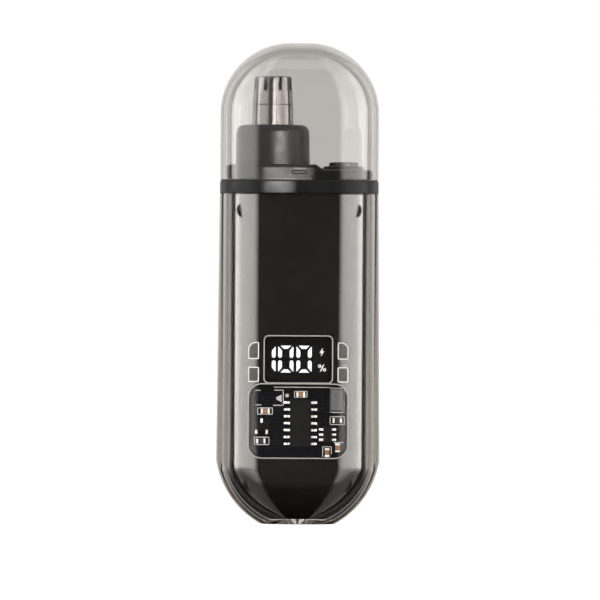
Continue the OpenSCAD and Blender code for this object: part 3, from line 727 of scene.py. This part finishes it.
def make_trim_band():
    """The black band between the shell and the cap, a closed ring with a rounded top edge."""
    inset = BODY_HD - CASE_HD - CASE_GAP + BAND_LAP
    z0, z1 = band_low.z, band_high.z
    profile = [
        (0, z0 + BAND_CHAMFER), (BAND_CHAMFER, z0), (inset, z0), (inset, z1), (BAND_ROUND * 1.5, z1),
    ]
    for a in (math.radians(d) for d in range(80, -1, -16)):
        profile.append((BAND_ROUND * (1 - math.cos(a)), z1 - BAND_ROUND * (1 - math.sin(a))))
    rings = [ring(NECK_HW - t, BODY_HD - t, EDGE_R - t, z) for t, z in profile]
    band = loft("trim_band_ring", rings + rings[:1], capped=False)
    return stand_for(band, "trim_band", "handle")


def deck_top(x):
    """The deck's height: high round the head, down a short ramp to the button's side."""
    low = bezel_low.z + BUTTON_DROP
    share = max(0.0, min(1.0, (STEP_X - x) / STEP_RUN))
    return low + (deck_high.z - low) * share * share * (3 - 2 * share)


def deck_ring(inset, drop):
    """A ring under the deck's top, with extra points along its straight sides for the ramp."""
    points = [p[:2] for p in ring(NECK_HW - inset, BODY_HD - inset, EDGE_R - inset, 0)]
    out = []
    for (x0, y), (x1, _) in zip(points, points[1:] + points[:1]):
        parts = DECK_FINE if abs(x1 - x0) > DECK_STRETCH else 1
        for k in range(parts):
            x = x0 + (x1 - x0) * k / parts
            out.append((x, y, deck_top(x) - drop))
    return out


def deck_skin():
    """The deck over the band: an upright side, a rounded edge and the stepped top."""
    foot = [(x, y, band_high.z) for x, y, _ in deck_ring(DECK_INSET, 0)]
    edge = [
        deck_ring(DECK_INSET + DECK_ROUND * (1 - math.cos(a)), DECK_ROUND * (1 - math.sin(a)))
        for a in (math.radians(d) for d in range(0, 91, 10))
    ]
    middle = EDGE_R - DECK_INSET - 0.02
    inner = [deck_ring(DECK_INSET + t, 0) for t in (*DECK_RINGS, middle)]
    return loft("top_deck", [foot] + edge + inner)


def plug_outline(inset):
    """The case's outline, an inset inside its skin, in x and y."""
    w, d = 2 * (CASE_HW - inset), 2 * (CASE_HD - inset)
    return rounded_rect(w, d, CASE_HD - inset - EDGE_FLAT, steps=16)


def mark_outline(inset):
    """The small oval on the deck's front and back that shows where the cap goes."""
    w, h = (size - 2 * inset for size in CAP_MARK)
    return rounded_rect(w, h, h / 2 - 0.01, 0, band_high.z + CAP_MARK_Z)


def make_deck():
    """The deck with its plug into the case, its two sockets and its oval marks."""
    deck = deck_skin()
    band_top = band_high.z
    collar = BODY_HD - CASE_HD - CASE_GAP + COLLAR_LAP
    fitted = [p[:2] for p in ring(NECK_HW - collar, BODY_HD - collar, EDGE_R - collar, 0)]
    carve(deck, prism("tool", fitted, shell_high.z, band_top + 0.1), "UNION")
    plug = plug_outline(CASE_WALL + PLUG_GAP)
    carve(deck, prism("tool", plug, deck_low.z, shell_high.z + 0.1), "UNION")
    inside = plug_outline(CASE_WALL + PLUG_WALL)
    hollow = prism("tool_hollow", inside, deck_low.z - 1, bezel_low.z - 0.5)
    carve(hollow, prism("tool", circle(SOCKET_BOSS_R, HEAD_X, 0), shell_high.z, deck_high.z))
    carve(deck, hollow)
    top, socket_floor = deck_high.z + 1, band_top - SOCKET_DROP
    carve(deck, prism("tool", circle(SOCKET_R, HEAD_X, 0, 96), socket_floor, top))
    carve(deck, prism("tool", circle(SHAFT_HOLE_R, HEAD_X, 0), shell_high.z - 3, socket_floor + 0.1))
    carve(deck, prism("tool", circle(BUTTON_HOLE_R, BUTTON_X, 0, 96), bezel_low.z - 3, top))
    face = BODY_HD - DECK_INSET
    for side in (-1, 1):
        low, high = sorted((side * (face - MARK_DEPTH), side * (face + 1)))
        groove = prism("tool_groove", mark_outline(0), low, high, "y")
        carve(groove, prism("tool", mark_outline(MARK_GROOVE), -2 * face, 2 * face, "y"))
        carve(deck, groove)
    return stand_for(deck, "deck", "handle")


# ---------------------------------------------------------------- printed and lit details

def strip(path, width, surface, thick, closed=True):
    """Points and faces of a thin flat line along a path of x and z, lying on a surface y(x)."""
    count = len(path)
    points, faces = [], []
    for i, p in enumerate(path):
        a = Vector(path[(i - 1) % count] if closed or i else p)
        b = Vector(path[(i + 1) % count] if closed or i < count - 1 else p)
        along = (b - a).normalized()
        side = Vector((-along.y, along.x)) * (width / 2)
        left, right = Vector(p) + side, Vector(p) - side
        for q, lift in ((left, 0), (right, 0), (right, thick), (left, thick)):
            points.append((q.x, surface(q.x) - lift, q.y))
    last = count if closed else count - 1
    for i in range(last):
        j = (i + 1) % count
        for k in range(4):
            m = (k + 1) % 4
            faces.append((4 * i + k, 4 * i + m, 4 * j + m, 4 * j + k))
    if not closed:
        faces.append((0, 1, 2, 3))
        faces.append(tuple(4 * (count - 1) + k for k in (3, 2, 1, 0)))
    return points, faces


def fine(path, longest=0.5, closed=True):
    """The same path with no stretch longer than a limit."""
    out = []
    count = len(path)
    for i in range(count if closed else count - 1):
        p, q = Vector(path[i]), Vector(path[(i + 1) % count])
        parts = max(1, math.ceil((q - p).length / longest))
        out += [tuple(p.lerp(q, k / parts)) for k in range(parts)]
    if not closed:
        out.append(tuple(path[-1]))
    return out


def lines_piece(name, paths, width, surface, material, thick=0.03):
    """One piece from many thin lines. A path is (points, closed)."""
    points, faces = [], []
    for path, closed in paths:
        p, f = strip(fine(path, closed=closed), width, surface, thick, closed)
        faces += [tuple(i + len(points) for i in face) for face in f]
        points += p
    piece = piece_from(name, points, faces)
    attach(piece, "handle")
    return paint(piece, material)


MARK_W = 1.75
MARK_X = 8.2
MARKS = ((32.05, 2.95, 1.25), (27.65, 2.6, 0.25))    # middle z, height, radius of the outer top corner
MARK_CORNER = 0.2
MARK_COLUMNS = 8
MARK_THICK = 0.012
FRAME_LINE = 0.2
MARK_LINE = 0.17
LEGEND_LINE = 0.15
LEGEND_THICK = 0.02


def flat(y):
    """A flat surface at one depth, in the form that the line tools take."""
    return lambda x: y


def mark_paths(shrink):
    """The outlines of the four small marks beside the display, shrunk by a distance."""
    paths = []
    for z, height, big in MARKS:
        for side in (-1, 1):
            small = MARK_CORNER
            radii = [big if side > 0 else small, big if side < 0 else small, small, small]
            radii = [max(0.05, r - shrink) for r in radii]
            outline = rounded_rect(MARK_W - 2 * shrink, height - 2 * shrink, radii, side * MARK_X, z)
            paths.append((outline, True))
    return paths


def make_prints():
    """Printed outlines on the case, round the two windows and the four small marks."""
    display = (display_low + display_high) / 2
    circuit = (circuit_low + circuit_high) / 2
    size = display_high - display_low
    line = FRAME_LINE
    outline = rounded_rect(size.x + line, size.z + line, DISPLAY_R + 0.1, display.x, display.z)
    prints = [lines_piece("display_outline", [(outline, True)], line, case_front_y, PRINT_GREY)]
    size = circuit_high - circuit_low
    outline = rounded_rect(size.x + line, size.z + line, CIRCUIT_R + 0.1, circuit.x, circuit.z, 16)
    prints.append(lines_piece("circuit_outline", [(outline, True)], line, case_front_y, PRINT_GREY))
    prints.append(lines_piece("mark_outlines", mark_paths(0), MARK_LINE, case_front_y, PRINT_WHITE))
    return prints


def span_at(path, x):
    """The lowest and highest z of a closed path of x and z, at one x."""
    hits = []
    for (x0, z0), (x1, z1) in zip(path, path[1:] + path[:1]):
        if (x0 - x) * (x1 - x) <= 0 and x0 != x1:
            hits.append(z0 + (z1 - z0) * (x - x0) / (x1 - x0))
    return min(hits), max(hits)


def make_mark_fills():
    """The faint satin patches inside the four small outlines."""
    points, faces = [], []
    for path, _ in mark_paths(0.1):
        base = len(points)
        low, high = min(p[0] for p in path), max(p[0] for p in path)
        for k in range(MARK_COLUMNS + 1):
            x = low + (high - low) * (0.004 + 0.992 * k / MARK_COLUMNS)
            z0, z1 = span_at(path, x)
            y = case_front_y(x)
            lifted = y - MARK_THICK
            points += [(x, y, z0), (x, y, z1), (x, lifted, z1), (x, lifted, z0)]
        for k in range(MARK_COLUMNS):
            a, b = base + 4 * k, base + 4 * (k + 1)
            faces += [(a + i, a + (i + 1) % 4, b + (i + 1) % 4, b + i) for i in range(4)]
        end = base + 4 * MARK_COLUMNS
        faces += [(base, base + 1, base + 2, base + 3), (end + 3, end + 2, end + 1, end)]
    piece = piece_from("mark_fills", points, faces)
    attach(piece, "handle")
    return paint(piece, MARK_FILL)


def make_groove_painted_shade():
    """Painted shade: a near-black strip along the floor of the oval grooves on the deck's front and
    back.
    """
    line, thick = MARK_GROOVE, 0.03
    face = BODY_HD - DECK_INSET
    paths = [(mark_outline(line / 2), True)]
    for name, y in (("front", MARK_DEPTH - face), ("rear", face - MARK_DEPTH + thick)):
        lines_piece("groove_shade_strip_" + name, paths, line, flat(y), GROOVE_SHADE_PAINT, thick)


def rect(x0, z0, x1, z1):
    return [(x0, z0), (x1, z0), (x1, z1), (x0, z1)]


def make_legend_lines():
    """White legend lines on the board, round its parts."""
    boxes = [
        rect(-0.65, 23.45, 1.65, 24.55),      # capacitor over the chip
        rect(-7.4, 20.3, -4.75, 21.45),       # capacitor at the left
        rect(6.0, 20.7, 8.35, 25.15),         # inductor
        rect(5.95, 18.45, 8.45, 19.9),        # resistor at the right
        rect(-7.9, 14.7, -5.35, 16.05),       # resistor at the lower left
    ]
    open_lines = [
        [(-4.5, 25.3), (5.98, 25.3), (5.98, 20.7)],
        [(-4.4, 24.75), (-2.75, 24.75), (-2.75, 21.95), (-4.6, 21.95)],
        [(-7.8, 24.7), (-6.9, 24.7)],
        [(-7.8, 22.0), (-6.8, 22.0)],
        [(4.6, 14.35), (4.6, 12.5)],
        [(4.6, 14.35), (6.2, 14.35), (6.2, 12.9)],
        [(6.6, 15.15), (8.3, 15.15)],
    ]
    paths = [(b, True) for b in boxes] + [(line, False) for line in open_lines]
    on_board = flat(board_front)
    return lines_piece(
        "board_silkscreen", paths, LEGEND_LINE, on_board, PRINT_WHITE, thick=LEGEND_THICK)


def make_legend_symbols():
    """Two dots that mark a first lead, and a diode's mark."""
    outlines = [circle(r, x, z, 24) for x, z, r in ((-2.04, 23.75, 0.34), (5.05, 17.75, 0.16))]
    outlines.append([(-3.05, 23.95), (-3.05, 22.5), (-4.05, 23.1), (-4.05, 23.4)])
    bm = bmesh.new()
    for outline in outlines:
        symbol = prism("symbol", outline, board_front - LEGEND_THICK, board_front, "y")
        bm.from_mesh(symbol.data)
        bpy.data.objects.remove(symbol)
    mesh = bpy.data.meshes.new("board_symbols")
    bm.to_mesh(mesh)
    bm.free()
    symbols = link("board_symbols", mesh)
    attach(symbols, "handle")
    return paint(symbols, PRINT_WHITE)


# ---------------------------------------------------------------- build the object

for node, piece in NODES.items():
    paint(piece, MATERIALS[SLOT_OF[node]])

make_dust_cap()
make_outer_shell()
make_case_half("front_case", "front_cover", True)
make_case_half("rear_case", "rear_cover", False)
make_circuit_window()
trim_band_ring = make_trim_band()
top_deck = make_deck()
prints = make_prints() + [make_legend_lines(), make_legend_symbols()]
make_mark_fills()
make_groove_painted_shade()


# ---------------------------------------------------------------- floor and light

FLOOR_HALF = 8         # in metres
FLOOR_Z = -0.05


def make_floor():
    """A plain white floor that no glossy or clear piece picks up."""
    bm = bmesh.new()
    bmesh.ops.create_grid(bm, x_segments=1, y_segments=1, size=FLOOR_HALF)
    mesh = bpy.data.meshes.new("floor")
    bm.to_mesh(mesh)
    bm.free()
    floor = link("floor", mesh)
    floor.location.z = FLOOR_Z * MM
    finish = Finish("floor", (0.05, 0.05, 0.05), 0.7)
    finish.set("Emission Color", (1, 1, 1, 1))
    finish.set("Emission Strength", 1.0)
    finish.set("Specular IOR Level", 0.0)
    finish.tint(finish.noise(900), (0.045, 0.045, 0.045), (0.055, 0.055, 0.055))
    paint(floor, finish.material)
    floor.visible_glossy = False
    floor.visible_diffuse = False
    floor.visible_transmission = False


# Brightness of the studio by the angle round from the front, in degrees, the same on both sides
STUDIO = (
    (0, 0.012), (17, 0.012), (24, 0.22), (30, 0.42), (45, 0.5), (66, 0.56), (77, 0.68), (86, 0.97),
    (95, 1.0), (98, 0.01), (114, 0.01), (117, 0.35), (134, 0.35), (137, 0.08), (150, 0.2), (180, 0.2),
)
# Share of it by height: half the height of the direction, plus a half
STUDIO_HEIGHTS = ((0.33, 0.1), (0.475, 1.0), (0.8, 1.0), (0.95, 0.5))
STUDIO_PEAK = 5.4
SPOT_FAR = 420


def set_stops(ramp, levels):
    """Gives a colour ramp grey stops from pairs of position and level."""
    stops = ramp.color_ramp.elements
    while len(stops) > 1:
        stops.remove(stops[-1])
    stops[0].position = levels[0][0]
    for k, (position, level) in enumerate(levels):
        stop = stops.new(position) if k else stops[0]
        stop.color = (level, level, level, 1)


def make_world():
    """A studio of tall soft boxes at both sides, seen in reflections, with a white backdrop.

    A ray from the camera, or one that has only passed through clear pieces, sees the backdrop.
    """
    world = bpy.data.worlds.new("studio")
    scene.world = world
    world.use_nodes = True
    tree = world.node_tree
    tree.nodes.clear()

    def node(kind, **settings):
        made = tree.nodes.new(kind)
        for key, value in settings.items():
            setattr(made, key, value)
        return made

    def math_node(operation, *values):
        made = node("ShaderNodeMath", operation=operation)
        for socket, value in zip(made.inputs, values):
            if isinstance(value, (int, float)):
                socket.default_value = value
            else:
                tree.links.new(value, socket)
        return made.outputs[0]

    def ramp_node(place, levels):
        ramp = node("ShaderNodeValToRGB")
        tree.links.new(place, ramp.inputs[0])
        set_stops(ramp, levels)
        return ramp.outputs[0]

    def background(colour, strength):
        made = node("ShaderNodeBackground")
        if isinstance(colour, tuple):
            made.inputs["Color"].default_value = colour
        else:
            tree.links.new(colour, made.inputs["Color"])
        made.inputs["Strength"].default_value = strength
        return made.outputs[0]

    direction = node("ShaderNodeTexCoord").outputs["Generated"]
    split = node("ShaderNodeSeparateXYZ")
    tree.links.new(direction, split.inputs[0])
    x = math_node("ABSOLUTE", split.outputs["X"])
    y = math_node("MULTIPLY", split.outputs["Y"], -1)
    turn = math_node("DIVIDE", math_node("ARCTAN2", x, y), math.pi)
    height = math_node("MULTIPLY_ADD", split.outputs["Z"], 0.5, 0.5)
    around = ramp_node(turn, [(angle / 180, level) for angle, level in STUDIO])
    studio = background(
        math_node("MULTIPLY", around, ramp_node(height, STUDIO_HEIGHTS)), STUDIO_PEAK)
    backdrop = background((1, 1, 1, 1), 1)
    path = node("ShaderNodeLightPath")
    straight = math_node("MAXIMUM", path.outputs["Is Camera Ray"], path.outputs["Is Transmission Ray"])
    bounced = math_node("ADD", path.outputs["Glossy Depth"], path.outputs["Diffuse Depth"])
    seen = math_node("MULTIPLY", straight, math_node("LESS_THAN", bounced, 0.5))
    mix = node("ShaderNodeMixShader")
    output = node("ShaderNodeOutputWorld")
    tree.links.new(seen, mix.inputs[0])
    tree.links.new(studio, mix.inputs[1])
    tree.links.new(backdrop, mix.inputs[2])
    tree.links.new(mix.outputs[0], output.inputs[0])


def aimed(data, azimuth, elevation, aim, far):
    """Puts a lamp round a point and turns it there. Azimuth goes from the front to the right."""
    lamp = bpy.data.objects.new(data.name, data)
    scene.collection.objects.link(lamp)
    a, e = math.radians(azimuth), math.radians(elevation)
    out = Vector((math.sin(a) * math.cos(e), -math.cos(a) * math.cos(e), math.sin(e)))
    lamp.location = (Vector(aim) + out * far) * MM
    lamp.rotation_mode = "QUATERNION"
    lamp.rotation_quaternion = out.to_track_quat("Z", "Y")
    return lamp


def soft_box(name, azimuth, elevation, far, width, height, brightness):
    """A rectangular lamp that faces the object's middle and shows in no reflection."""
    data = bpy.data.lights.new(name, "AREA")
    data.shape = "RECTANGLE"
    data.size, data.size_y = width * MM, height * MM
    data.energy = brightness * math.pi * width * height * MM * MM
    lamp = aimed(data, azimuth, elevation, (0, 0, cad_box[1].z / 2 / MM), far)
    lamp.visible_camera = False
    lamp.visible_glossy = False


def spot(name, azimuth, elevation, aim, cone, watts):
    """A narrow beam on a point, with its angles in degrees."""
    data = bpy.data.lights.new(name, "SPOT")
    data.energy = watts
    data.shadow_soft_size = 0
    data.spot_size = math.radians(cone)
    data.spot_blend = 1
    return aimed(data, azimuth, elevation, aim, SPOT_FAR)


def light_only(lamp, pieces):
    """The lamp lights these pieces and no others."""
    group = bpy.data.collections.new(lamp.name + "_pieces")
    for piece in pieces:
        group.objects.link(piece)
    lamp.light_linking.receiver_collection = group


def light_head():
    """Highlights down the steel, the collar and the button."""
    middle = (HEAD_X, 0, collar_high.z)
    steel = [NODES[n] for n in ("lower_sleeve", "comb_tube", "inner_blade")]
    for turn in (9, 21, 33):
        light_only(spot(f"steel_key_{turn}", turn, 4, middle, 4.5, 2.4), steel)
    black = [NODES[n] for n in ("head_collar", "button_cap")]
    for turn in (18, 34):
        light_only(spot(f"collar_key_{turn}", turn, 4, middle, 4.5, 10), black)


def light_deck_and_band():
    """The short highlights under the head."""
    on_deck = (HEAD_X + 1.8, -BODY_HD, band_high.z + 1.5)
    on_band = (HEAD_X + 1.1, -BODY_HD, (band_low.z + band_high.z) / 2)
    light_only(spot("deck_key", 6, 10, on_deck, 1.8, 19), [top_deck])
    light_only(spot("band_key", 6, 10, on_band, 1, 13), [trim_band_ring])


def light_details():
    """Light on the small board parts and on the prints."""
    middle = (0, -CASE_HD, (circuit_low.z + display_high.z) / 2)
    details = [NODES[n] for n in (
        "ic_leads", "charge_ic_leads", "transistor_leads", "chip_capacitors", "chip_terminals",
        "chip_resistors", "power_inductor",
    )]
    light_only(spot("detail_key", -12, 10, middle, 6, 8.5), details + prints)


make_floor()
make_world()
light_head()
light_deck_and_band()
light_details()
soft_box("top", -10, 72, 400, 300, 200, 3)
scene.view_settings.view_transform = "Standard"
